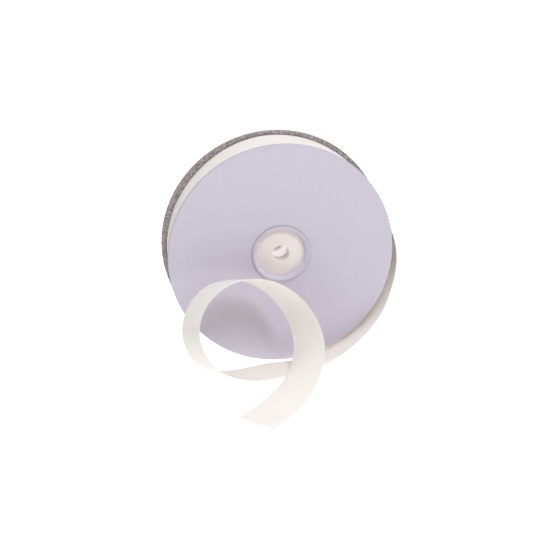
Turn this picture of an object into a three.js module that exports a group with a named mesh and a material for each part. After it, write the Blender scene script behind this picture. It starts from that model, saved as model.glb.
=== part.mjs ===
// A reel of cream grosgrain ribbon that stands on its rim, with its loose end curled in front.
// Millimetres. +X is to the right, +Y is away from the viewer, +Z is up. The reel's axle line is
// parallel to Y. The origin is on the surface that the reel stands on, under the axle line,
// midway through the thickness of the front disc.
import * as THREE from 'three';

// Driving dimensions
const DISC_RADIUS = 58.5;
const DISC_THICKNESS = 1.8;
const DISC_HOLE_RADIUS = 14.6;
const FOOT_FLAT_DEPTH = 0.15;
const RIBBON_WIDTH = 22;
const SIDE_CLEARANCE = 0.7;
const ROLL_RADIUS = 55.7;
const ROLL_SHIFT_X = 0.5;
const ROLL_LUMP = { height: 0.45, count: 4, peakAngle: THREE.MathUtils.degToRad(97) };
const PIECE_GAP = 0.3;
const SHEET_THICKNESS = 1;
const HUB = {
  flangeRadius: 15.2,
  flangeThickness: 0.5,
  flangeRound: 0.2,
  rimRound: 0.4,
  moatRadius: 12.9,
  moatDepth: 3,
  moatRound: 0.6,
  coneSwell: 0.25,
  lipRadius: 5.3,
  lipDepth: 0.2,
  lipRound: 0.45,
  holeRadius: 4.35,
  tubeDepth: 8,
  wall: 1.2,
};

// Worked out from the driving dimensions
const AXLE_Z = DISC_RADIUS - FOOT_FLAT_DEPTH;
const INNER_WIDTH = RIBBON_WIDTH + 2 * SIDE_CLEARANCE;
const FRONT_FACE_Y = -DISC_THICKNESS / 2;
const BACK_FACE_Y = DISC_THICKNESS / 2 + INNER_WIDTH + DISC_THICKNESS;
const MIDDLE_Y = (FRONT_FACE_Y + BACK_FACE_Y) / 2;

// Smoothness of round forms
const DISC_STEPS = 96;
const HUB_STEPS = 48;
const SHEET_STEPS = 105;
const SHEET_COLUMNS = 3;

// The loose end, from the roll to its cut tip. Each row is a control station of its middle line.
// x, y, z: place. turn: the heading of the front edge seen from above, in degrees to the right of
// straight at the viewer. tilt: how far the front edge is raised above level, in degrees.
const LOOSE_END = [
  { x: 54, y: 12.6, z: 77.5, turn: 0, tilt: 0 },
  { x: 60, y: 12.6, z: 63, turn: 3, tilt: 2 },
  { x: 61, y: 12.2, z: 47, turn: 7, tilt: 5 },
  { x: 56.5, y: 10, z: 32.5, turn: 11, tilt: 9 },
  { x: 48, y: 3, z: 16, turn: 14, tilt: 13 },
  { x: 20.5, y: -9.5, z: -0.3, turn: 16, tilt: 14 },
  { x: -0.5, y: -22, z: 4.5, turn: 20, tilt: 3 },
  { x: -19.5, y: -30, z: 3.5, turn: 26, tilt: 0 },
  { x: -43.5, y: -32.5, z: 6, turn: 25, tilt: 13 },
  { x: -55.5, y: -31, z: 31, turn: 15, tilt: 10 },
  { x: -42, y: -24, z: 52.5, turn: 10, tilt: 11 },
  { x: -17, y: -18, z: 54, turn: 13, tilt: 22 },
  { x: 2.5, y: -18.5, z: 40, turn: 23, tilt: 32 },
  { x: 12.5, y: -27.5, z: 18.5, turn: 42, tilt: 29 },
  { x: 2.5, y: -45.5, z: 4, turn: 52, tilt: 14 },
  { x: -11.5, y: -64, z: 0.5, turn: 53, tilt: 0 },
  { x: -26.5, y: -82, z: 0.5, turn: 43, tilt: 0 },
];

const group = new THREE.Group();
group.name = 'grosgrain_ribbon_reel';

function addPiece(name, geometry, look) {
  const mesh = new THREE.Mesh(geometry, new THREE.MeshStandardMaterial(look));
  mesh.name = name;
  group.add(mesh);
  return mesh;
}

// Stands a shape that was drawn in a vertical plane on its place: its depth runs along +Y.
function extrudeAlongY(shape, depth) {
  const geometry = new THREE.ExtrudeGeometry(shape, {
    depth, bevelEnabled: false, steps: 1, curveSegments: DISC_STEPS,
  });
  geometry.rotateX(Math.PI / 2);
  geometry.translate(0, depth, 0);
  return geometry;
}

// A card disc with a round hole and, at its foot, a short flat to stand on.
function discGeometry() {
  const footAngle = Math.acos(AXLE_Z / DISC_RADIUS);
  const shape = new THREE.Shape();
  shape.absarc(0, 0, DISC_RADIUS, -Math.PI / 2 + footAngle, 1.5 * Math.PI - footAngle, false);
  shape.closePath();
  const hole = new THREE.Path();
  hole.absarc(0, 0, DISC_HOLE_RADIUS, 0, 2 * Math.PI, true);
  shape.holes.push(hole);
  return extrudeAlongY(shape, DISC_THICKNESS);
}

// The wound ribbon: a thick ring whose outside is a little uneven, as hand-tensioned turns are.
function rollGeometry() {
  const outline = [];
  for (let step = 0; step < DISC_STEPS; step += 1) {
    const angle = (2 * Math.PI * step) / DISC_STEPS;
    const lump = ROLL_LUMP.height * Math.cos(ROLL_LUMP.count * (angle - ROLL_LUMP.peakAngle));
    const radius = ROLL_RADIUS + lump;
    outline.push(new THREE.Vector2(
      ROLL_SHIFT_X + radius * Math.cos(angle),
      radius * Math.sin(angle),
    ));
  }
  const shape = new THREE.Shape(outline);
  const hole = new THREE.Path();
  hole.absarc(0, 0, DISC_HOLE_RADIUS, 0, 2 * Math.PI, true);
  shape.holes.push(hole);
  return extrudeAlongY(shape, RIBBON_WIDTH);
}

// One moulded hub plug, turned about the axle line. Depth 0 is the disc's outer face and the
// depth grows into the reel. From the flange a moat dips in and a cone rises back to the lip of
// the hole. A short tube runs in from the hole and a sleeve runs on to the middle of the reel.
function hubGeometry(outerFaceY, inward) {
  const {
    flangeRadius, flangeRound, rimRound, moatRadius, moatDepth, moatRound, coneSwell,
    lipRadius, lipDepth, lipRound, holeRadius, tubeDepth, wall,
  } = HUB;
  const reach = Math.abs(MIDDLE_Y - outerFaceY) - PIECE_GAP / 2;
  const flangeTop = -PIECE_GAP - HUB.flangeThickness;
  const sleeveRadius = DISC_HOLE_RADIUS - PIECE_GAP;
  const profile = [
    [holeRadius, tubeDepth],
    [holeRadius, lipDepth + lipRound],
    [holeRadius + lipRound, lipDepth],
    [lipRadius, lipDepth],
    [(lipRadius + moatRadius) / 2, (lipDepth + moatDepth) / 2 - coneSwell],
    [moatRadius - moatRound, moatDepth],
    [moatRadius, moatDepth - moatRound],
    [sleeveRadius - rimRound, flangeTop],
    [flangeRadius - flangeRound, flangeTop],
    [flangeRadius, flangeTop + flangeRound],
    [flangeRadius, -PIECE_GAP],
    [sleeveRadius, -PIECE_GAP],
    [sleeveRadius, reach],
    [sleeveRadius - wall, reach],
    [sleeveRadius - wall, moatDepth + wall + moatRound],
    [sleeveRadius - wall - moatRound, moatDepth + wall],
    [holeRadius + wall, moatDepth],
    [holeRadius + wall, tubeDepth],
    [holeRadius, tubeDepth],
  ];
  const points = profile.map(([radius, depth]) => (
    new THREE.Vector2(radius, outerFaceY + inward * depth)
  ));
  if (inward < 0) points.reverse();
  return new THREE.LatheGeometry(points, HUB_STEPS);
}

// A point on the uniform cubic B-spline of the given stations. It starts at the first one and
// ends at the last one, because each end is carried on in a straight line.
function splinePoint(stations, position) {
  const last = stations.length - 1;
  const index = Math.min(Math.floor(position), last - 1);
  const t = position - index;
  const station = (i) => {
    if (i < 0) return stations[0].clone().multiplyScalar(2).sub(stations[1]);
    if (i > last) return stations[last].clone().multiplyScalar(2).sub(stations[last - 1]);
    return stations[i];
  };
  const weights = [
    (1 - t) ** 3,
    3 * t ** 3 - 6 * t ** 2 + 4,
    -3 * t ** 3 + 3 * t ** 2 + 3 * t + 1,
    t ** 3,
  ];
  const point = new THREE.Vector3();
  weights.forEach((weight, k) => point.addScaledVector(station(index - 1 + k), weight / 6));
  return point;
}

// The loose end's middle surface, as rows of points from its rear edge to its front edge.
function looseEndRows() {
  const rear = [];
  const front = [];
  LOOSE_END.forEach(({ x, y, z, turn, tilt }) => {
    const heading = THREE.MathUtils.degToRad(turn);
    const rise = THREE.MathUtils.degToRad(tilt);
    const across = new THREE.Vector3(
      Math.sin(heading) * Math.cos(rise),
      -Math.cos(heading) * Math.cos(rise),
      Math.sin(rise),
    ).multiplyScalar(RIBBON_WIDTH / 2);
    const middle = new THREE.Vector3(x, y, z);
    rear.push(middle.clone().sub(across));
    front.push(middle.clone().add(across));
  });
  const rows = [];
  for (let step = 0; step <= SHEET_STEPS; step += 1) {
    const position = (step * (LOOSE_END.length - 1)) / SHEET_STEPS;
    const from = splinePoint(rear, position);
    const to = splinePoint(front, position);
    const row = [];
    for (let column = 0; column <= SHEET_COLUMNS; column += 1) {
      const point = from.clone().lerp(to, column / SHEET_COLUMNS);
      point.z = Math.max(point.z, SHEET_THICKNESS / 2);
      row.push(point);
    }
    rows.push(row);
  }
  return rows;
}

// Unit normals of a grid of points, from its neighbours along and across.
function gridNormals(rows) {
  return rows.map((row, i) => row.map((_, j) => {
    const before = rows[Math.max(i - 1, 0)][j];
    const after = rows[Math.min(i + 1, rows.length - 1)][j];
    const left = row[Math.max(j - 1, 0)];
    const right = row[Math.min(j + 1, row.length - 1)];
    const along = after.clone().sub(before);
    return along.cross(right.clone().sub(left)).normalize();
  }));
}

// A closed sheet of even thickness about a grid of points. Nothing of it goes below the surface
// that it lies on.
function sheetGeometry(rows, thickness) {
  const normals = gridNormals(rows);
  const columns = rows[0].length;
  const positions = [];
  [-1, 1].forEach((side) => rows.forEach((row, i) => row.forEach((point, j) => {
    const corner = point.clone().addScaledVector(normals[i][j], (side * thickness) / 2);
    positions.push(corner.x, corner.y, Math.max(corner.z, 0));
  })));
  const vertex = (side, i, j) => side * rows.length * columns + i * columns + j;
  const indices = [];
  const quad = (a, b, c, d) => indices.push(a, b, c, a, c, d);
  for (let i = 0; i < rows.length - 1; i += 1) {
    for (let j = 0; j < columns - 1; j += 1) {
      quad(vertex(1, i, j), vertex(1, i + 1, j), vertex(1, i + 1, j + 1), vertex(1, i, j + 1));
      quad(vertex(0, i, j), vertex(0, i, j + 1), vertex(0, i + 1, j + 1), vertex(0, i + 1, j));
    }
    const edge = columns - 1;
    quad(vertex(0, i, 0), vertex(0, i + 1, 0), vertex(1, i + 1, 0), vertex(1, i, 0));
    quad(vertex(1, i, edge), vertex(1, i + 1, edge), vertex(0, i + 1, edge), vertex(0, i, edge));
  }
  const end = rows.length - 1;
  for (let j = 0; j < columns - 1; j += 1) {
    quad(vertex(0, 0, j), vertex(1, 0, j), vertex(1, 0, j + 1), vertex(0, 0, j + 1));
    quad(vertex(1, end, j), vertex(0, end, j), vertex(0, end, j + 1), vertex(1, end, j + 1));
  }
  const geometry = new THREE.BufferGeometry();
  geometry.setAttribute('position', new THREE.Float32BufferAttribute(positions, 3));
  geometry.setIndex(indices);
  geometry.computeVertexNormals();
  return geometry;
}

const paperCard = { color: 0xcfc8da, roughness: 0.55, metalness: 0 };
const greyChipboard = { color: 0x948986, roughness: 0.95, metalness: 0 };
const milkyPlastic = { color: 0xe7e0dd, roughness: 0.35, metalness: 0 };
const creamRibbon = { color: 0xf3ede4, roughness: 0.7, metalness: 0 };

addPiece('front_disc', discGeometry(), paperCard)
  .position.set(0, FRONT_FACE_Y, AXLE_Z);
addPiece('back_disc', discGeometry(), greyChipboard)
  .position.set(0, BACK_FACE_Y - DISC_THICKNESS, AXLE_Z);
addPiece('ribbon_roll', rollGeometry(), creamRibbon)
  .position.set(0, MIDDLE_Y - RIBBON_WIDTH / 2, AXLE_Z);
addPiece('hub_front', hubGeometry(FRONT_FACE_Y, 1), milkyPlastic)
  .position.set(0, 0, AXLE_Z);
addPiece('hub_back', hubGeometry(BACK_FACE_Y, -1), milkyPlastic)
  .position.set(0, 0, AXLE_Z);
addPiece('loose_end', sheetGeometry(looseEndRows(), SHEET_THICKNESS), creamRibbon);

export default group;
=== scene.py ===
import math

import bmesh
import bpy
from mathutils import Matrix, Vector, noise


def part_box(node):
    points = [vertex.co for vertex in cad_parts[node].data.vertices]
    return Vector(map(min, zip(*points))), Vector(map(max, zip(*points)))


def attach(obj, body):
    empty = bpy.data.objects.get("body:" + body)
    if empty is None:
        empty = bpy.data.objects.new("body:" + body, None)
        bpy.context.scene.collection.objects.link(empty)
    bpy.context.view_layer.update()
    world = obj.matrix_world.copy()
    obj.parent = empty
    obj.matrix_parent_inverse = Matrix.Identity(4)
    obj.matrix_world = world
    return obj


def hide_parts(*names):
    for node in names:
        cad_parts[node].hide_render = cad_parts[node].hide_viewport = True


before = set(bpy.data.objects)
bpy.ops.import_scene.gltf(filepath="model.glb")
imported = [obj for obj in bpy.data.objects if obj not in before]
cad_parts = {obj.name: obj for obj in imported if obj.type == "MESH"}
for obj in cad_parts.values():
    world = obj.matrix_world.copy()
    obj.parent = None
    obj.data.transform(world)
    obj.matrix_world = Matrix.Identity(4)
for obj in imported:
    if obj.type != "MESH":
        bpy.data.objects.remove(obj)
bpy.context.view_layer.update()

bl_info = {
    "name": "Grosgrain Ribbon Reel",
    "version": (1, 0, 0),
    "blender": (4, 5, 0),
    "location": "View3D > Sidebar > Ribbon Reel",
    "description": "Models a reel of grosgrain ribbon round its packed frame",
    "category": "Object",
}

MM = 0.001
# Places nearer each other than this are the same place
NEAR = 0.001 * MM

# Places taken from the frame
FRONT_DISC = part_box("front_disc")
BACK_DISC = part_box("back_disc")
DISC_RADIUS = (FRONT_DISC[1].x - FRONT_DISC[0].x) / 2
DISC_THICKNESS = FRONT_DISC[1].y - FRONT_DISC[0].y
AXLE_Z = FRONT_DISC[1].z - DISC_RADIUS
FRONT_FACE_Y = FRONT_DISC[0].y
BACK_FACE_Y = BACK_DISC[1].y
MIDDLE_Y = (FRONT_FACE_Y + BACK_FACE_Y) / 2

# The loose end's stations, from the roll to its cut tip, as in the model's own source.
# x, y, z: place in mm. turn: the heading of the front edge seen from above, in degrees to the
# right of straight at the viewer. tilt: how far the front edge is raised above level.
LOOSE_END = (
    dict(x=54, y=12.6, z=77.5, turn=0, tilt=0),
    dict(x=60, y=12.6, z=63, turn=3, tilt=2),
    dict(x=61, y=12.2, z=47, turn=7, tilt=5),
    dict(x=56.5, y=10, z=32.5, turn=11, tilt=9),
    dict(x=48, y=3, z=16, turn=14, tilt=13),
    dict(x=20.5, y=-9.5, z=-0.3, turn=16, tilt=14),
    dict(x=-0.5, y=-22, z=4.5, turn=20, tilt=3),
    dict(x=-19.5, y=-30, z=3.5, turn=26, tilt=0),
    dict(x=-43.5, y=-32.5, z=6, turn=25, tilt=13),
    dict(x=-55.5, y=-31, z=31, turn=15, tilt=10),
    dict(x=-42, y=-24, z=52.5, turn=10, tilt=11),
    dict(x=-17, y=-18, z=54, turn=13, tilt=22),
    dict(x=2.5, y=-18.5, z=40, turn=23, tilt=32),
    dict(x=12.5, y=-27.5, z=18.5, turn=42, tilt=29),
    dict(x=2.5, y=-45.5, z=4, turn=52, tilt=14),
    dict(x=-11.5, y=-64, z=0.5, turn=53, tilt=0),
    dict(x=-26.5, y=-82, z=0.5, turn=43, tilt=0),
)


def length(name, description, default):
    return bpy.props.FloatProperty(
        name=name, description=description, default=default, min=0.0, precision=5,
        unit="LENGTH", subtype="DISTANCE",
    )


def colour(name, description, default):
    return bpy.props.FloatVectorProperty(
        name=name, description=description, default=default, size=3, min=0.0, max=1.0,
        subtype="COLOR",
    )


class ReelSizes(bpy.types.PropertyGroup):
    """Sizes of the reel and its ribbon"""

    ribbon_width: length("Ribbon width", "Width of the ribbon", 22 * MM)
    ribbon_thickness: length("Ribbon thickness", "Thickness of the ribbon", 0.4 * MM)
    rib_pitch: length("Rib pitch", "Distance from one cross rib to the next", 0.65 * MM)
    rib_relief: length("Rib relief", "Height of a rib above its furrow, on one side", 0.07 * MM)
    loose_length: length("Loose length", "Flat length of the loose end", 354 * MM)
    roll_radius: length("Roll radius", "Radius of the wound ribbon", 56.1 * MM)
    roll_shift: length("Roll shift", "How far the roll sits to the right of the axle", 0.5 * MM)
    roll_lump: length("Roll unevenness", "Height of the roll's soft corners", 0.4 * MM)
    card_edge: length("Card edge", "Rounding of the discs' pressed edges", 0.22 * MM)
    hub_hole: length("Spindle hole radius", "Radius of the hole in the hub", 4.35 * MM)


class ReelColours(bpy.types.PropertyGroup):
    """Colours of the reel and its ribbon"""

    ribbon: colour("Ribbon", "Cream of the ribbon", (0.94, 0.885, 0.815))
    paper: colour("Paper", "Paper on the outsides of the discs", (0.60, 0.553, 0.625))
    board: colour("Board", "Bare grey board of the back disc", (0.37, 0.325, 0.32))
    plastic: colour("Plastic", "Milky plastic of the hub", (0.765, 0.72, 0.67))
    floor: colour("Floor", "Studio floor", (0.3, 0.3, 0.3))


# Small helpers

def deselect_all():
    bpy.ops.object.select_all(action="DESELECT")


def pick_only(piece):
    deselect_all()
    piece.select_set(True)
    bpy.context.view_layer.objects.active = piece


def edit(piece):
    pick_only(piece)
    bpy.ops.object.mode_set(mode="EDIT")


def leave_edit():
    bpy.ops.object.mode_set(mode="OBJECT")


def select_edges(piece, test):
    """Selects the edges of the edited mesh that pass a test of their place."""
    bpy.ops.mesh.select_all(action="DESELECT")
    mesh = bmesh.from_edit_mesh(piece.data)
    for edge_line in mesh.edges:
        if test(edge_line):
            edge_line.select_set(True)
    mesh.select_flush_mode()
    bmesh.update_edit_mesh(piece.data)


def from_axle(point):
    """Distance of a point from the axle line."""
    return math.hypot(point.x, point.z - AXLE_Z)


def apply_place(piece):
    pick_only(piece)
    bpy.ops.object.transform_apply(location=True, rotation=True, scale=True)


def apply_modifiers(piece):
    pick_only(piece)
    for modifier in list(piece.modifiers):
        bpy.ops.object.modifier_apply(modifier=modifier.name)


def smooth(piece, angle):
    pick_only(piece)
    bpy.ops.object.shade_smooth_by_angle(angle=math.radians(angle))


def finish_piece(piece, slot_name, *nodes):
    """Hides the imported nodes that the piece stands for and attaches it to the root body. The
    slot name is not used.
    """
    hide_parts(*nodes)
    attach(piece, "root")


def blend_smoothly(value, low, high):
    share = min(max((value - low) / (high - low), 0.0), 1.0)
    return share * share * (3 - 2 * share)


# Materials

def new_group(name, inputs, outputs):
    """An empty shader node group with named sockets, and its two end nodes."""
    group = bpy.data.node_groups.new(name, "ShaderNodeTree")
    for label, kind, default in inputs:
        socket = group.interface.new_socket(label, in_out="INPUT", socket_type=kind)
        if default is not None:
            socket.default_value = default
    for label, kind in outputs:
        group.interface.new_socket(label, in_out="OUTPUT", socket_type=kind)
    return group, group.nodes.new("NodeGroupInput"), group.nodes.new("NodeGroupOutput")


def add_node(tree, kind, inputs=(), **settings):
    """A node with its settings. Inputs are (socket, value) or (socket, output socket) pairs."""
    node = tree.nodes.new(kind)
    for setting, value in settings.items():
        setattr(node, setting, value)
    for socket, value in inputs:
        if isinstance(value, bpy.types.NodeSocket):
            tree.links.new(value, node.inputs[socket])
        else:
            node.inputs[socket].default_value = value
    return node


# The Mix node's colour sockets, which share their names with its other kinds
MIX_SHARE, MIX_FIRST, MIX_SECOND = 0, 6, 7
MIX_RESULT = 2


def mix_colours(tree, share, first, second):
    """The first colour where the share is 0, and the second where it is 1."""
    mix = add_node(
        tree, "ShaderNodeMix",
        ((MIX_SHARE, share), (MIX_FIRST, first), (MIX_SECOND, second)),
        data_type="RGBA",
    )
    return mix.outputs[MIX_RESULT]


def calculate(tree, operation, *values):
    return add_node(tree, "ShaderNodeMath", enumerate(values), operation=operation).outputs[0]


def fade(tree, value, start, end):
    """A share that goes softly from 0 where the value is start to 1 where it is end."""
    ramp = add_node(
        tree, "ShaderNodeMapRange",
        (("Value", value), ("From Min", start), ("From Max", end)),
        interpolation_type="SMOOTHSTEP",
    )
    return ramp.outputs["Result"]


def opaque(rgb):
    return (*rgb, 1.0)


def darker(rgb, factor):
    return tuple(channel * factor for channel in rgb)


# Repeats in a metre of the board's cloudy patches and of its fibres, and how much they tell
CLOUD_SCALE = 90.0
CLOUD_WEIGHT = 0.35
FIBRE_SCALE = 2600.0
FIBRE_WEIGHT = 0.6
SPECK_RANGE = (0.4, 0.6)


def board_fibre_group():
    """Fibres and specks of paper and board: two colours mixed, and a height for the bump."""
    name = "Board fibre"
    if name in bpy.data.node_groups:
        return bpy.data.node_groups[name]
    group, given, result = new_group(
        name,
        (
            ("Place", "NodeSocketVector", None),
            ("Light", "NodeSocketColor", (0.8, 0.8, 0.8, 1)),
            ("Dark", "NodeSocketColor", (0.6, 0.6, 0.6, 1)),
            ("Specks per metre", "NodeSocketFloat", 1000.0),
            ("Contrast", "NodeSocketFloat", 0.5),
        ),
        (("Colour", "NodeSocketColor"), ("Height", "NodeSocketFloat")),
    )
    place = given.outputs["Place"]
    specks = add_node(
        group, "ShaderNodeTexNoise",
        (("Vector", place), ("Scale", given.outputs["Specks per metre"]), ("Detail", 3.0),
         ("Roughness", 0.65)),
    )
    clouds = add_node(
        group, "ShaderNodeTexNoise",
        (("Vector", place), ("Scale", CLOUD_SCALE), ("Detail", 2.0)),
    )
    fibres = add_node(
        group, "ShaderNodeTexVoronoi", (("Vector", place), ("Scale", FIBRE_SCALE)),
        feature="DISTANCE_TO_EDGE",
    )
    sharpened = add_node(
        group, "ShaderNodeMapRange",
        (("Value", specks.outputs["Fac"]), ("From Min", SPECK_RANGE[0]),
         ("From Max", SPECK_RANGE[1])),
    )
    with_clouds = calculate(
        group, "MULTIPLY_ADD", clouds.outputs["Fac"], CLOUD_WEIGHT, sharpened.outputs["Result"],
    )
    share = calculate(group, "MULTIPLY", with_clouds, given.outputs["Contrast"])
    bounded = calculate(group, "MINIMUM", share, 1.0)
    mixed = mix_colours(group, bounded, given.outputs["Light"], given.outputs["Dark"])
    height = calculate(
        group, "MULTIPLY_ADD", fibres.outputs["Distance"], FIBRE_WEIGHT, with_clouds,
    )
    group.links.new(mixed, result.inputs["Colour"])
    group.links.new(height, result.inputs["Height"])
    return group


# The weave's sizes in mm, as its UV is, and how far each effect takes the ribbon's colour,
# which is a share of 0, towards the furrow's painted shade, which is a share of 1
WARP_PITCH = 0.16
SLUB_SQUEEZE = 6.0
SLUB_STRETCH = 0.35
PATCH_SCALE = 0.05
FURROW_SHARE = 0.85
RIB_WEIGHT = -0.75
SLUB_WEIGHT = 0.3
PATCH_WEIGHT = 0.25
CREST_ROUGHNESS = 0.48
FURROW_ROUGHNESS = 0.63
FURROW_SHADE_TINT = 0.9
WARP_RELIEF = 0.012 * MM


def weave_group():
    """Grosgrain: fine warp threads along the ribbon over cords across it, from its UV in mm, with
    painted shade darkening the furrows between the cords.
    """
    name = "Grosgrain weave"
    if name in bpy.data.node_groups:
        return bpy.data.node_groups[name]
    group, given, result = new_group(
        name,
        (
            ("Flat place", "NodeSocketVector", None),
            ("Colour", "NodeSocketColor", (0.9, 0.85, 0.8, 1)),
            ("Furrow", "NodeSocketColor", (0.8, 0.75, 0.7, 1)),
            ("Rib pitch", "NodeSocketFloat", 0.65),
        ),
        (("Colour", "NodeSocketColor"), ("Height", "NodeSocketFloat"),
         ("Roughness", "NodeSocketFloat")),
    )
    split = add_node(group, "ShaderNodeSeparateXYZ", (("Vector", given.outputs["Flat place"]),))
    across, along = split.outputs["X"], split.outputs["Y"]
    turns = calculate(group, "DIVIDE", along, given.outputs["Rib pitch"])
    wave = calculate(group, "COSINE", calculate(group, "MULTIPLY", turns, 2 * math.pi))
    rib = calculate(group, "MULTIPLY_ADD", wave, 0.5, 0.5)
    threads = calculate(
        group, "SINE", calculate(group, "MULTIPLY", across, 2 * math.pi / WARP_PITCH),
    )
    stretched = add_node(
        group, "ShaderNodeCombineXYZ",
        (("X", calculate(group, "MULTIPLY", across, SLUB_SQUEEZE)),
         ("Y", calculate(group, "MULTIPLY", along, SLUB_STRETCH))),
    )
    slubs = add_node(
        group, "ShaderNodeTexNoise",
        (("Vector", stretched.outputs["Vector"]), ("Scale", 1.0), ("Detail", 2.0)),
    )
    patches = add_node(
        group, "ShaderNodeTexNoise",
        (("Vector", given.outputs["Flat place"]), ("Scale", PATCH_SCALE), ("Detail", 1.0)),
    )
    # The rib wave darkens the colour in the furrows as painted shade; slubs and patches are the
    # yarn's own uneven tone
    shade = calculate(group, "MULTIPLY_ADD", slubs.outputs["Fac"], SLUB_WEIGHT, rib)
    share = calculate(group, "MULTIPLY_ADD", shade, RIB_WEIGHT, FURROW_SHARE)
    share = calculate(group, "MULTIPLY_ADD", patches.outputs["Fac"], PATCH_WEIGHT, share)
    share = calculate(group, "MAXIMUM", calculate(group, "MINIMUM", share, 1.0), 0.0)
    mixed = mix_colours(group, share, given.outputs["Colour"], given.outputs["Furrow"])
    height = calculate(
        group, "ADD", calculate(group, "MULTIPLY", threads, 0.5), slubs.outputs["Fac"],
    )
    rough = calculate(
        group, "MULTIPLY_ADD", share, FURROW_ROUGHNESS - CREST_ROUGHNESS, CREST_ROUGHNESS,
    )
    group.links.new(mixed, result.inputs["Colour"])
    group.links.new(height, result.inputs["Height"])
    group.links.new(rough, result.inputs["Roughness"])
    return group


def new_material(name, **constants):
    """A material whose constants stand on the shader's own sockets."""
    material = bpy.data.materials.new(name)
    material.use_nodes = True
    shader = material.node_tree.nodes["Principled BSDF"]
    for socket, value in constants.items():
        shader.inputs[socket.replace("_", " ")].default_value = value
    return material, material.node_tree, shader


def add_bump(tree, shader, height, distance):
    bump = add_node(
        tree, "ShaderNodeBump", (("Height", height), ("Distance", distance), ("Strength", 1.0)),
    )
    tree.links.new(bump.outputs["Normal"], shader.inputs["Normal"])


def board_material(name, light, dark, specks, contrast, relief, **constants):
    """Card or paper between two colours, with its specks counted to the metre."""
    material, tree, shader = new_material(name, **constants)
    place = add_node(tree, "ShaderNodeTexCoord")
    fibre = add_node(tree, "ShaderNodeGroup", node_tree=board_fibre_group())
    tree.links.new(place.outputs["Object"], fibre.inputs["Place"])
    fibre.inputs["Light"].default_value = opaque(light)
    fibre.inputs["Dark"].default_value = opaque(dark)
    fibre.inputs["Specks per metre"].default_value = specks
    fibre.inputs["Contrast"].default_value = contrast
    tree.links.new(fibre.outputs["Colour"], shader.inputs["Base Color"])
    add_bump(tree, shader, fibre.outputs["Height"], relief)
    return material


def paper_material(colours):
    return board_material(
        "white_paper_face", colours.paper, darker(colours.paper, 0.96),
        specks=700, contrast=0.5, relief=0.008 * MM, Roughness=0.5, IOR=1.45,
    )


def pale_edge_material(colours):
    return board_material(
        "pale_card_edge", darker(colours.paper, 0.98), darker(colours.paper, 0.75),
        specks=1500, contrast=0.6, relief=0.03 * MM, Roughness=0.85, IOR=1.4,
    )


def chipboard_material(colours):
    return board_material(
        "bare_grey_board", darker(colours.board, 1.6), darker(colours.board, 0.45),
        specks=1500, contrast=0.8, relief=0.06 * MM, Roughness=0.95, IOR=1.35,
    )


def ribbon_material(name, sizes, rgb):
    material, tree, shader = new_material(
        name, Sheen_Weight=0.25, Sheen_Roughness=0.4, IOR=1.4,
        Subsurface_Weight=0.5, Subsurface_Radius=(1.0, 0.9, 0.8), Subsurface_Scale=1 * MM,
    )
    flat = add_node(tree, "ShaderNodeUVMap", uv_map="flat_mm")
    weave = add_node(tree, "ShaderNodeGroup", node_tree=weave_group())
    tree.links.new(flat.outputs["UV"], weave.inputs["Flat place"])
    weave.inputs["Colour"].default_value = opaque(rgb)
    # The furrow colour is the ribbon's, darkened as painted shade between the cords
    weave.inputs["Furrow"].default_value = opaque(darker(rgb, FURROW_SHADE_TINT))
    weave.inputs["Rib pitch"].default_value = sizes.rib_pitch / MM
    tree.links.new(weave.outputs["Colour"], shader.inputs["Base Color"])
    tree.links.new(weave.outputs["Roughness"], shader.inputs["Roughness"])
    add_bump(tree, shader, weave.outputs["Height"], WARP_RELIEF)
    return material


# Card discs

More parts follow.
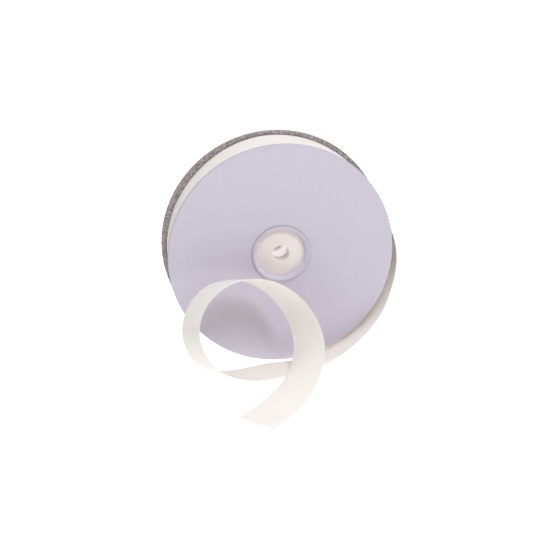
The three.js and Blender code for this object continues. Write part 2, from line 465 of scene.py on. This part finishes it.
class REEL_OT_card_discs(bpy.types.Operator):
    """Cut both card discs, with pressed edges, a hub hole and a short flat at the foot"""

    bl_idname = "reel.card_discs"
    bl_label = "Card discs"

    STEPS = 256
    HOLE_RADIUS = 14.6 * MM
    PRESSED_RADIUS = 16.2 * MM
    EDGE_BAND = 1.5 * MM
    EDGE_SEGMENTS = 3
    SMOOTH_ANGLE = 35
    # Faces turned at least this far towards the outside are papered, 1 being square to the axle
    PAPER_FROM = 0.75
    NEAR_CIRCLE = 0.01 * MM

    def disc(self, name, face_y, edge_round):
        """A disc from its hole outwards, whose front is at face_y."""
        deselect_all()
        centre = Vector((0, face_y, AXLE_Z))
        bpy.ops.mesh.primitive_circle_add(
            vertices=self.STEPS, radius=self.HOLE_RADIUS, fill_type="NOTHING",
            location=centre, rotation=(math.pi / 2, 0, 0),
        )
        piece = bpy.context.object
        piece.name = name
        piece.data.name = name
        apply_place(piece)
        edit(piece)
        bpy.ops.mesh.select_all(action="SELECT")
        inner = self.HOLE_RADIUS
        for outer in (self.PRESSED_RADIUS, DISC_RADIUS - self.EDGE_BAND, DISC_RADIUS):
            bpy.ops.mesh.extrude_edges_move()
            bpy.ops.transform.resize(
                value=(outer / inner, 1, outer / inner), center_override=centre,
            )
            inner = outer
        bpy.ops.mesh.select_all(action="SELECT")
        bpy.ops.mesh.extrude_region_move(
            TRANSFORM_OT_translate={"value": (0, DISC_THICKNESS, 0)},
        )
        faces = (face_y, face_y + DISC_THICKNESS)

        def on_edge(edge_line):
            ends = [vertex.co for vertex in edge_line.verts]
            flat = any(all(abs(end.y - y) < NEAR for end in ends) for y in faces)
            return flat and any(
                all(abs(from_axle(end) - radius) < self.NEAR_CIRCLE for end in ends)
                for radius in (DISC_RADIUS, self.HOLE_RADIUS)
            )

        select_edges(piece, on_edge)
        bpy.ops.mesh.bevel(offset=edge_round, segments=self.EDGE_SEGMENTS, affect="EDGES")
        bpy.ops.mesh.select_all(action="SELECT")
        bpy.ops.mesh.bisect(
            plane_co=(0, 0, FRONT_DISC[0].z), plane_no=(0, 0, 1), use_fill=True,
            clear_inner=True, threshold=NEAR,
        )
        bpy.ops.mesh.select_all(action="SELECT")
        bpy.ops.mesh.normals_make_consistent(inside=False)
        leave_edit()
        return piece

    def paint(self, piece, outward, materials):
        """Paper on the outer face, bare board or a pale edge elsewhere."""
        for material in materials:
            piece.data.materials.append(material)
        for polygon in piece.data.polygons:
            is_paper = polygon.normal.y * outward > self.PAPER_FROM
            polygon.material_index = 0 if is_paper else 1

    def execute(self, context):
        sizes, colours = context.scene.reel_sizes, context.scene.reel_colours
        paper = paper_material(colours)
        front = self.disc("front_card_disc", FRONT_DISC[0].y, sizes.card_edge)
        self.paint(front, -1, (paper, pale_edge_material(colours)))
        back = self.disc("back_card_disc", BACK_DISC[0].y, sizes.card_edge)
        self.paint(back, 1, (paper, chipboard_material(colours)))
        for piece, slot_name, node in (
            (front, "white_card", "front_disc"), (back, "grey_chipboard", "back_disc"),
        ):
            smooth(piece, self.SMOOTH_ANGLE)
            finish_piece(piece, slot_name, node)
        return {"FINISHED"}


# Hub plugs

class REEL_OT_hub_plugs(bpy.types.Operator):
    """Turn the two milky hub plugs: flange, moat, cone, sleeve and short tube"""

    bl_idname = "reel.hub_plugs"
    bl_label = "Hub plugs"

    STEPS = 128
    GAP = 0.3 * MM
    FLANGE_RADIUS = 15.2 * MM
    FLANGE_THICKNESS = 0.6 * MM
    FLANGE_LIFT = 0.02 * MM
    MOAT_RADIUS = 12.9 * MM
    MOAT_DEPTH = 3 * MM
    MOAT_FLOOR = 0.2 * MM
    LIP_RADIUS = 5.3 * MM
    LIP_DEPTH = 0.2 * MM
    TUBE_DEPTH = 8 * MM
    WALL = 1.2 * MM
    SLEEVE_RADIUS = 14.3 * MM
    SLEEVE_LIP = 0.4 * MM
    CONE_SWELL = 0.25 * MM
    # Depth of the shell's inner side below the moat's floor and below the cone, in walls
    UNDER_MOAT = 1.4
    UNDER_CONE = 1.1
    EDGE_ROUND = 0.22 * MM
    EDGE_SEGMENTS = 3
    EDGE_ANGLE = 22
    SMOOTH_ANGLE = 40

    # From the cone outwards the plastic takes a tint of the paper behind it: lightened at the
    # moat's thin wall as painted light for the light that passes through it, nearly the paper's
    # own on the flange, and darkened at the flange's rim as a painted shadow of the gap under its
    # edge.
    # (from radius, to radius, tint)
    TINTS_AND_PAINTED_LIGHT = (
        (11.8 * MM, 12.8 * MM, 1.3),
        (13.4 * MM, 14.2 * MM, 0.98),
        (14.9 * MM, 15.1 * MM, 0.68),
    )
    # The hollow under the cone has a painted glow (emission) that stands in for the light that
    # comes through the milky plastic. The glow comes up over these radii and over these depths
    # below the cone's face.
    PAINTED_GLOW_COLOUR = (0.94, 0.96, 1.0)
    PAINTED_GLOW_STRENGTH = 0.25
    PAINTED_GLOW_RADII = (4.6 * MM, 5.4 * MM)
    PAINTED_GLOW_DEPTHS = (0.45 * MM, 1.05 * MM)
    GRAIN_SCALE = 500.0
    GRAIN_RELIEF = 0.02 * MM

    def plastic(self, colours):
        """Milky plastic that takes the paper's tint where it is thin, with painted light on the
        moat's wall, a painted shadow at the flange's rim and a painted glow within.
        """
        material, tree, shader = new_material(
            "milky_hub_plastic", Roughness=0.3, IOR=1.5, Subsurface_Weight=1.0,
            Subsurface_Radius=(1.0, 0.9, 0.85), Subsurface_Scale=3 * MM,
            Emission_Strength=self.PAINTED_GLOW_STRENGTH,
        )
        place = add_node(tree, "ShaderNodeTexCoord")
        centred = add_node(
            tree, "ShaderNodeMapping",
            (("Vector", place.outputs["Object"]), ("Location", (0, -MIDDLE_Y, -AXLE_Z))),
        )
        split = add_node(
            tree, "ShaderNodeSeparateXYZ", (("Vector", centred.outputs["Vector"]),),
        )
        seen_flat = add_node(
            tree, "ShaderNodeCombineXYZ",
            (("X", split.outputs["X"]), ("Y", split.outputs["Z"])),
        )
        measured = add_node(
            tree, "ShaderNodeVectorMath", (("Vector", seen_flat.outputs["Vector"]),),
            operation="LENGTH",
        )
        radius = measured.outputs["Value"]
        tint = opaque(colours.plastic)
        # Paper tints by radius: the moat's wall is lightened as painted light and the flange's
        # rim is darkened as a painted shadow
        for start, end, share in self.TINTS_AND_PAINTED_LIGHT:
            tint = mix_colours(
                tree, fade(tree, radius, start, end), tint, opaque(darker(colours.paper, share)),
            )
        tree.links.new(tint, shader.inputs["Base Color"])
        # Painted glow (emission) in the hollow under the cone, for light coming through the
        # plastic
        self.painted_glow(tree, shader, radius, calculate(tree, "ABSOLUTE", split.outputs["Y"]))
        grain = add_node(
            tree, "ShaderNodeTexNoise",
            (("Vector", place.outputs["Object"]), ("Scale", self.GRAIN_SCALE), ("Detail", 2.0)),
        )
        add_bump(tree, shader, grain.outputs["Fac"], self.GRAIN_RELIEF)
        return material

    def painted_glow(self, tree, shader, radius, from_middle):
        """Paints a glow (emission), standing in for light through the plastic, on the plastic
        that lies outside the hole and deeper than the cone's face.
        """
        slope = (self.MOAT_DEPTH - self.LIP_DEPTH) / (self.MOAT_RADIUS - self.LIP_RADIUS)
        cone_face = (
            (BACK_FACE_Y - FRONT_FACE_Y) / 2 - self.LIP_DEPTH + slope * self.LIP_RADIUS
        )
        height = calculate(tree, "MULTIPLY_ADD", radius, slope, from_middle)
        below = (cone_face - depth for depth in self.PAINTED_GLOW_DEPTHS)
        share = calculate(
            tree, "MULTIPLY", fade(tree, height, *below), fade(tree, radius, *self.PAINTED_GLOW_RADII),
        )
        painted_glow_tint = mix_colours(tree, share, opaque((0, 0, 0)), opaque(self.PAINTED_GLOW_COLOUR))
        tree.links.new(painted_glow_tint, shader.inputs["Emission Color"])

    def profile(self, hole):
        """(radius, depth into the reel) of the plug's section, from the tube's inner end."""
        reach = (BACK_FACE_Y - FRONT_FACE_Y) / 2 - self.GAP / 2
        flange_back = -self.FLANGE_LIFT
        flange_top = flange_back - self.FLANGE_THICKNESS
        cone_middle = (
            (self.LIP_RADIUS + self.MOAT_RADIUS) / 2,
            (self.LIP_DEPTH + self.MOAT_DEPTH) / 2 - self.CONE_SWELL,
        )
        return (
            (hole, self.TUBE_DEPTH),
            (hole, self.LIP_DEPTH),
            (self.LIP_RADIUS, self.LIP_DEPTH),
            cone_middle,
            (self.MOAT_RADIUS - self.MOAT_FLOOR, self.MOAT_DEPTH),
            (self.SLEEVE_RADIUS - self.SLEEVE_LIP, flange_top),
            (self.FLANGE_RADIUS, flange_top),
            (self.FLANGE_RADIUS, flange_back),
            (self.SLEEVE_RADIUS, flange_back),
            (self.SLEEVE_RADIUS, reach),
            (self.SLEEVE_RADIUS - self.WALL, reach),
            (self.SLEEVE_RADIUS - self.WALL, self.MOAT_DEPTH + self.UNDER_MOAT * self.WALL),
            (cone_middle[0], cone_middle[1] + self.UNDER_CONE * self.WALL),
            (hole + self.WALL, self.LIP_DEPTH + self.WALL),
            (hole + self.WALL, self.TUBE_DEPTH),
        )

    def plug(self, name, face_y, inward, hole):
        mesh = bpy.data.meshes.new(name)
        piece = bpy.data.objects.new(name, mesh)
        bpy.context.scene.collection.objects.link(piece)
        section = [
            (radius, face_y + inward * depth, AXLE_Z) for radius, depth in self.profile(hole)
        ]
        count = len(section)
        mesh.from_pydata(section, [(i, (i + 1) % count) for i in range(count)], [])
        edit(piece)
        bpy.ops.mesh.select_all(action="SELECT")
        bpy.ops.mesh.spin(
            steps=self.STEPS, angle=2 * math.pi, center=(0, 0, AXLE_Z), axis=(0, 1, 0),
        )
        bpy.ops.mesh.select_all(action="SELECT")
        bpy.ops.mesh.remove_doubles(threshold=NEAR)
        bpy.ops.mesh.normals_make_consistent(inside=False)
        leave_edit()
        bevel = piece.modifiers.new("rounding", "BEVEL")
        bevel.width = self.EDGE_ROUND
        bevel.segments = self.EDGE_SEGMENTS
        bevel.limit_method = "ANGLE"
        bevel.angle_limit = math.radians(self.EDGE_ANGLE)
        apply_modifiers(piece)
        return piece

    def execute(self, context):
        sizes, colours = context.scene.reel_sizes, context.scene.reel_colours
        plastic = self.plastic(colours)
        for name, face_y, inward, node in (
            ("front_hub_plug", FRONT_FACE_Y, 1, "hub_front"),
            ("back_hub_plug", BACK_FACE_Y, -1, "hub_back"),
        ):
            piece = self.plug(name, face_y, inward, sizes.hub_hole)
            piece.data.materials.append(plastic)
            smooth(piece, self.SMOOTH_ANGLE)
            finish_piece(piece, "milky_plastic", node)
        return {"FINISHED"}


# The ribbon, wound and loose

SEAM_ANGLE = math.atan2(LOOSE_END[0]["z"] * MM - AXLE_Z, LOOSE_END[0]["x"] * MM)
# The roll has this many soft corners, one of them at this angle from +X
LUMP_COUNT = 4
LUMP_PEAK = math.radians(97)
ROWS_PER_RIB = 4
RIBBON_SMOOTH_ANGLE = 60
WANDER = 0.12 * MM
WANDERS_PER_METRE = 60


def roll_radius(sizes, angle):
    """Radius of the roll's outside at an angle from +X. The last turn starts at the seam."""
    lump = sizes.roll_lump * math.cos(LUMP_COUNT * (angle - LUMP_PEAK))
    turn = ((angle - SEAM_ANGLE) / (2 * math.pi)) % 1.0
    return sizes.roll_radius + lump + (0.5 - turn) * sizes.ribbon_thickness


def rib_height(sizes, along):
    """Height of the ribbed surface above its mean at a length along the ribbon."""
    return sizes.rib_relief / 2 * math.cos(2 * math.pi * along / sizes.rib_pitch)


def selvedge_wander(along, seed):
    """How far a selvedge strays sideways, in metres."""
    return WANDER * noise.noise(Vector((along * WANDERS_PER_METRE, seed, 0.0)))


class REEL_OT_wound_ribbon(bpy.types.Operator):
    """Wind the roll: ribbed outer turn, uneven shoulders and the core's bore"""

    bl_idname = "reel.wound_ribbon"
    bl_label = "Wound ribbon"

    BORE_RADIUS = 14.6 * MM
    SHOULDER_TURNS = 4
    # Places across the ribbed outside, in half widths
    ACROSS = (-0.97, -0.6, -0.2, 0.2, 0.6, 0.97)
    # Each turn's shoulder: (depth in ribbon thicknesses, distance in from the selvedge)
    SHOULDER = ((0.25, 0.0), (0.8, 0.0), (1.0, 0.12 * MM))
    # The part of the half width beyond which a selvedge strays
    STRAY_FROM = 0.9
    # Keeps the two selvedges' noise apart
    OTHER_SIDE = 10.0

    def section(self, sizes):
        """The roll's section all round, as (depth below the outside, place across, turn).

        Turns count inwards from 0. The ribbed outside has None for its turn, and the bore has
        None for its depth.
        """
        half = sizes.ribbon_width / 2
        outside = [(0.0, half * share, None) for share in self.ACROSS]
        right = [
            ((turn + down) * sizes.ribbon_thickness, half - inset, turn)
            for turn in range(self.SHOULDER_TURNS) for down, inset in self.SHOULDER
        ]
        bore = [(None, half, None), (None, -half, None)]
        left = [(down, -across, turn) for down, across, turn in reversed(right)]
        return outside + right + bore + left

    def place(self, sizes, angle, along, circumference, entry):
        """Where an entry of the section lies at an angle round the roll."""
        down, across, turn = entry
        if down is None:
            radius = self.BORE_RADIUS
        else:
            radius = roll_radius(sizes, angle) - down
            if turn is None:
                radius += rib_height(sizes, along)
            if abs(across) > sizes.ribbon_width / 2 * self.STRAY_FROM:
                turn = float(turn or 0)
                seed = turn + (self.OTHER_SIDE if across > 0 else 0.0)
                across += selvedge_wander(along + turn * circumference, seed)
        return (
            sizes.roll_shift + radius * math.cos(angle),
            MIDDLE_Y + across,
            AXLE_Z + radius * math.sin(angle),
        )

    def execute(self, context):
        sizes, colours = context.scene.reel_sizes, context.scene.reel_colours
        circumference = 2 * math.pi * sizes.roll_radius
        rows = round(circumference / sizes.rib_pitch) * ROWS_PER_RIB
        section = self.section(sizes)
        mesh = bmesh.new()
        flat_map = mesh.loops.layers.uv.new("flat_mm")
        grid = []
        for row in range(rows):
            share = row / rows
            angle = SEAM_ANGLE + 2 * math.pi * share
            along = circumference * share
            line = [
                mesh.verts.new(self.place(sizes, angle, along, circumference, entry))
                for entry in section
            ]
            grid.append((along, line))
        count = len(section)
        for row in range(rows):
            along, line = grid[row]
            next_along, next_line = grid[(row + 1) % rows]
            if row == rows - 1:
                next_along = circumference
            for i in range(count):
                j = (i + 1) % count
                face = mesh.faces.new((line[i], line[j], next_line[j], next_line[i]))
                for loop, wound in zip(face.loops, (along, along, next_along, next_along)):
                    loop[flat_map].uv = ((loop.vert.co.y - MIDDLE_Y) / MM, wound / MM)
        bmesh.ops.recalc_face_normals(mesh, faces=mesh.faces)
        data = bpy.data.meshes.new("wound_ribbon")
        mesh.to_mesh(data)
        mesh.free()
        piece = bpy.data.objects.new("wound_ribbon", data)
        context.scene.collection.objects.link(piece)
        data.materials.append(ribbon_material("wound_grosgrain", sizes, colours.ribbon))
        smooth(piece, RIBBON_SMOOTH_ANGLE)
        finish_piece(piece, "wound_ribbon", "ribbon_roll")
        return {"FINISHED"}


def spline_point(stations, position):
    """A point on the uniform cubic B-spline of the stations, carried straight on at its ends."""
    last = len(stations) - 1
    index = min(int(position), last - 1)
    t = position - index

    def station(i):
        if i < 0:
            return 2 * stations[0] - stations[1]
        if i > last:
            return 2 * stations[last] - stations[last - 1]
        return stations[i]

    weights = (
        (1 - t) ** 3, 3 * t ** 3 - 6 * t ** 2 + 4, -3 * t ** 3 + 3 * t ** 2 + 3 * t + 1, t ** 3,
    )
    point = Vector((0, 0, 0))
    for k, weight in enumerate(weights):
        point += station(index - 1 + k) * (weight / 6)
    return point


class REEL_OT_loose_end(bpy.types.Operator):
    """Lay the loose end of the ribbon along its stations, with ribs and selvedges"""

    bl_idname = "reel.loose_end"
    bl_label = "Loose end"

    FINE_STEPS = 1500
    SETTLE_LENGTH = 26 * MM
    # Places across the ribbon in half widths, and the share of its thickness at each
    COLUMNS = (-1, -0.985, -0.93, -0.5, 0, 0.5, 0.93, 0.985, 1)
    THICKNESS_SHARES = (0.4, 0.85, 1, 1, 1, 1, 1, 0.85, 0.4)
    THINNEST_HALF = 0.04 * MM
    SELVEDGE_LOOP = 0.05 * MM
    FLOOR_CLEARANCE = 0.01 * MM

    def edges(self, sizes):
        """The rear and front edges as closely spaced points."""
        rear, front = [], []
        for s in LOOSE_END:
            heading, rise = math.radians(s["turn"]), math.radians(s["tilt"])
            across = Vector((
                math.sin(heading) * math.cos(rise),
                -math.cos(heading) * math.cos(rise),
                math.sin(rise),
            )) * (sizes.ribbon_width / 2)
            middle = Vector((s["x"], s["y"], s["z"])) * MM
            rear.append(middle - across)
            front.append(middle + across)
        last = len(LOOSE_END) - 1
        places = [i * last / self.FINE_STEPS for i in range(self.FINE_STEPS + 1)]
        return ([spline_point(rear, p) for p in places], [spline_point(front, p) for p in places])

    def settle(self, sizes, point, along):
        """Brings the start of the loose end down on to the roll, flush with its last turn."""
        share = 1 - blend_smoothly(along, 0.0, self.SETTLE_LENGTH)
        if share == 0:
            return point
        x, z = point.x - sizes.roll_shift, point.z - AXLE_Z
        radius = math.hypot(x, z)
        target = roll_radius(sizes, SEAM_ANGLE) - sizes.ribbon_thickness / 2
        start = math.hypot(
            LOOSE_END[0]["x"] * MM - sizes.roll_shift, LOOSE_END[0]["z"] * MM - AXLE_Z,
        )
        scale = (radius + share * (target - start)) / radius
        return Vector((sizes.roll_shift + x * scale, point.y, AXLE_Z + z * scale))

    def rows(self, sizes):
        """(length along, rear point, front point) rows, evenly spaced, four to a rib."""
        rear, front = self.edges(sizes)
        travelled = [0.0]
        for i in range(self.FINE_STEPS):
            step = ((rear[i + 1] + front[i + 1]) - (rear[i] + front[i])).length / 2
            travelled.append(travelled[-1] + step)
        total = travelled[-1]
        count = round(total / sizes.rib_pitch) * ROWS_PER_RIB
        found, i = [], 0
        for row in range(count + 1):
            along = total * row / count
            while i < self.FINE_STEPS - 1 and travelled[i + 1] < along:
                i += 1
            share = (along - travelled[i]) / (travelled[i + 1] - travelled[i])
            found.append((
                along,
                self.settle(sizes, rear[i].lerp(rear[i + 1], share), along),
                self.settle(sizes, front[i].lerp(front[i + 1], share), along),
            ))
        return found

    def execute(self, context):
        sizes, colours = context.scene.reel_sizes, context.scene.reel_colours
        rows = self.rows(sizes)
        half = sizes.ribbon_thickness / 2
        lowest = half + 2 * self.FLOOR_CLEARANCE
        width = sizes.ribbon_width
        middles = []
        for along, rear, front in rows:
            line = []
            for column in self.COLUMNS:
                point = rear.lerp(front, (column + 1) / 2)
                if abs(column) == 1:
                    outward = (front - rear).normalized() * column
                    point += outward * (
                        self.SELVEDGE_LOOP * math.cos(2 * math.pi * along / sizes.rib_pitch)
                    )
                point.z = max(point.z, lowest)
                line.append(point)
            middles.append((along, line))
        mesh = bmesh.new()
        flat_map = mesh.loops.layers.uv.new("flat_mm")
        columns = len(self.COLUMNS)
        sides = {1: [], -1: []}
        for i, (along, line) in enumerate(middles):
            before = middles[max(i - 1, 0)][1]
            after = middles[min(i + 1, len(middles) - 1)][1]
            for side in (1, -1):
                verts = []
                for j, point in enumerate(line):
                    left, right = line[max(j - 1, 0)], line[min(j + 1, columns - 1)]
                    normal = (after[j] - before[j]).cross(right - left).normalized()
                    rise = half * self.THICKNESS_SHARES[j] - sizes.rib_relief / 2
                    rise += rib_height(sizes, along)
                    place = point + normal * side * max(rise, self.THINNEST_HALF)
                    place.z = max(place.z, self.FLOOR_CLEARANCE)
                    verts.append(mesh.verts.new(place))
                sides[side].append(verts)
        flat = {}
        for i, (along, _) in enumerate(middles):
            for side in (1, -1):
                for j, column in enumerate(self.COLUMNS):
                    flat[sides[side][i][j]] = (column * width / 2 / MM, along / MM)

        def quad(*corners):
            face = mesh.faces.new(corners)
            for loop in face.loops:
                loop[flat_map].uv = flat[loop.vert]

        top, under = sides[1], sides[-1]
        for i in range(len(middles) - 1):
            for j in range(columns - 1):
                quad(top[i][j], top[i + 1][j], top[i + 1][j + 1], top[i][j + 1])
                quad(under[i][j], under[i][j + 1], under[i + 1][j + 1], under[i + 1][j])
            quad(under[i][0], under[i + 1][0], top[i + 1][0], top[i][0])
            quad(top[i][-1], top[i + 1][-1], under[i + 1][-1], under[i][-1])
        for j in range(columns - 1):
            quad(under[0][j], top[0][j], top[0][j + 1], under[0][j + 1])
            quad(top[-1][j], under[-1][j], under[-1][j + 1], top[-1][j + 1])
        bmesh.ops.recalc_face_normals(mesh, faces=mesh.faces)
        data = bpy.data.meshes.new("ribbon_loose_end")
        mesh.to_mesh(data)
        mesh.free()
        piece = bpy.data.objects.new("ribbon_loose_end", data)
        context.scene.collection.objects.link(piece)
        data.materials.append(ribbon_material("loose_grosgrain", sizes, colours.ribbon))
        smooth(piece, RIBBON_SMOOTH_ANGLE)
        finish_piece(piece, "cream_ribbon", "loose_end")
        return {"FINISHED"}


# Floor, lights and camera

class REEL_OT_stage(bpy.types.Operator):
    """Set up the pale floor, the soft studio light and the camera"""

    bl_idname = "reel.stage"
    bl_label = "Stage"

    FLOOR_SIZE = 12.0
    FLOOR_GLOW_COLOUR = (1.0, 0.99, 0.975)
    FLOOR_GLOW = 0.98
    AIR_COLOUR = (0.92, 0.93, 1.0)
    AIR_STRENGTH = 0.38
    # Name, direction from the reel, distance, (width, height), power in watts, colour
    LIGHTS = (
        ("key_box", (0.15, -0.65, 1.0), 1.2, (0.25, 0.35), 7.1, (0.90, 0.93, 1.0)),
        ("overhead_box", (0.1, 0.3, 1.0), 0.9, (0.8, 0.8), 3.5, (1.0, 0.97, 0.94)),
    )
    CAMERA_AZIMUTH = -10.1
    CAMERA_ELEVATION = 20.1
    CAMERA_DISTANCE = 1.17
    CAMERA_TARGET = Vector((-1.39, -5.35, 45.7)) * MM
    VIEW_WIDTH = 0.2876
    SENSOR_WIDTH = 36.0

    def floor(self, colours):
        deselect_all()
        bpy.ops.mesh.primitive_plane_add(size=self.FLOOR_SIZE, location=(0, 0, 0))
        plane = bpy.context.object
        plane.name = "studio_floor"
        material, _, _ = new_material(
            "studio_floor", Roughness=0.9, Base_Color=opaque(colours.floor),
            Emission_Color=opaque(self.FLOOR_GLOW_COLOUR), Emission_Strength=self.FLOOR_GLOW,
        )
        plane.data.materials.append(material)

    def soft_light(self, name, towards, distance, size, power, tint):
        """A soft rectangular light that looks at the reel from a direction."""
        direction = Vector(towards).normalized()
        deselect_all()
        bpy.ops.object.light_add(
            type="AREA", location=self.CAMERA_TARGET + direction * distance,
        )
        lamp = bpy.context.object
        lamp.name = name
        lamp.rotation_euler = direction.to_track_quat("Z", "Y").to_euler()
        lamp.data.shape = "RECTANGLE"
        lamp.data.size, lamp.data.size_y = size
        lamp.data.energy = power
        lamp.data.color = tint

    def world(self, scene):
        world = bpy.data.worlds.new("studio_air")
        world.use_nodes = True
        background = world.node_tree.nodes["Background"]
        background.inputs["Color"].default_value = opaque(self.AIR_COLOUR)
        background.inputs["Strength"].default_value = self.AIR_STRENGTH
        scene.world = world

    def camera(self, scene):
        azimuth = math.radians(self.CAMERA_AZIMUTH)
        elevation = math.radians(self.CAMERA_ELEVATION)
        back = Vector((
            math.sin(azimuth) * math.cos(elevation),
            -math.cos(azimuth) * math.cos(elevation),
            math.sin(elevation),
        ))
        data = bpy.data.cameras.new("photo_camera")
        data.sensor_width = self.SENSOR_WIDTH
        data.lens = self.SENSOR_WIDTH * self.CAMERA_DISTANCE / self.VIEW_WIDTH
        data.clip_start = 0.05
        data.clip_end = 50.0
        camera = bpy.data.objects.new("photo_camera", data)
        camera.location = self.CAMERA_TARGET + back * self.CAMERA_DISTANCE
        camera.rotation_mode = "QUATERNION"
        camera.rotation_quaternion = back.to_track_quat("Z", "Y")
        scene.collection.objects.link(camera)
        scene.camera = camera

    def execute(self, context):
        scene = context.scene
        self.floor(scene.reel_colours)
        self.world(scene)
        for light in self.LIGHTS:
            self.soft_light(*light)
        self.camera(scene)
        scene.view_settings.view_transform = "Standard"
        return {"FINISHED"}


class REEL_PT_panel(bpy.types.Panel):
    """The reel's sizes, colours and steps"""

    bl_idname = "REEL_PT_panel"
    bl_label = "Ribbon Reel"
    bl_space_type = "VIEW_3D"
    bl_region_type = "UI"
    bl_category = "Ribbon Reel"

    def draw(self, context):
        scene = context.scene
        for group in (scene.reel_sizes, scene.reel_colours):
            box = self.layout.box()
            for key in group.bl_rna.properties.keys():
                if key not in {"rna_type", "name"}:
                    box.prop(group, key)
        for operator in STEPS:
            self.layout.operator(operator.bl_idname)


STEPS = (
    REEL_OT_stage, REEL_OT_card_discs, REEL_OT_hub_plugs, REEL_OT_wound_ribbon,
    REEL_OT_loose_end,
)
CLASSES = (ReelSizes, ReelColours, *STEPS, REEL_PT_panel)


def register():
    for cls in CLASSES:
        bpy.utils.register_class(cls)
    bpy.types.Scene.reel_sizes = bpy.props.PointerProperty(type=ReelSizes)
    bpy.types.Scene.reel_colours = bpy.props.PointerProperty(type=ReelColours)


def unregister():
    del bpy.types.Scene.reel_colours
    del bpy.types.Scene.reel_sizes
    for cls in reversed(CLASSES):
        bpy.utils.unregister_class(cls)


def main():
    register()
    bpy.ops.reel.stage()
    bpy.ops.reel.card_discs()
    bpy.ops.reel.hub_plugs()
    bpy.ops.reel.wound_ribbon()
    bpy.ops.reel.loose_end()


if __name__ == "__main__":
    main()
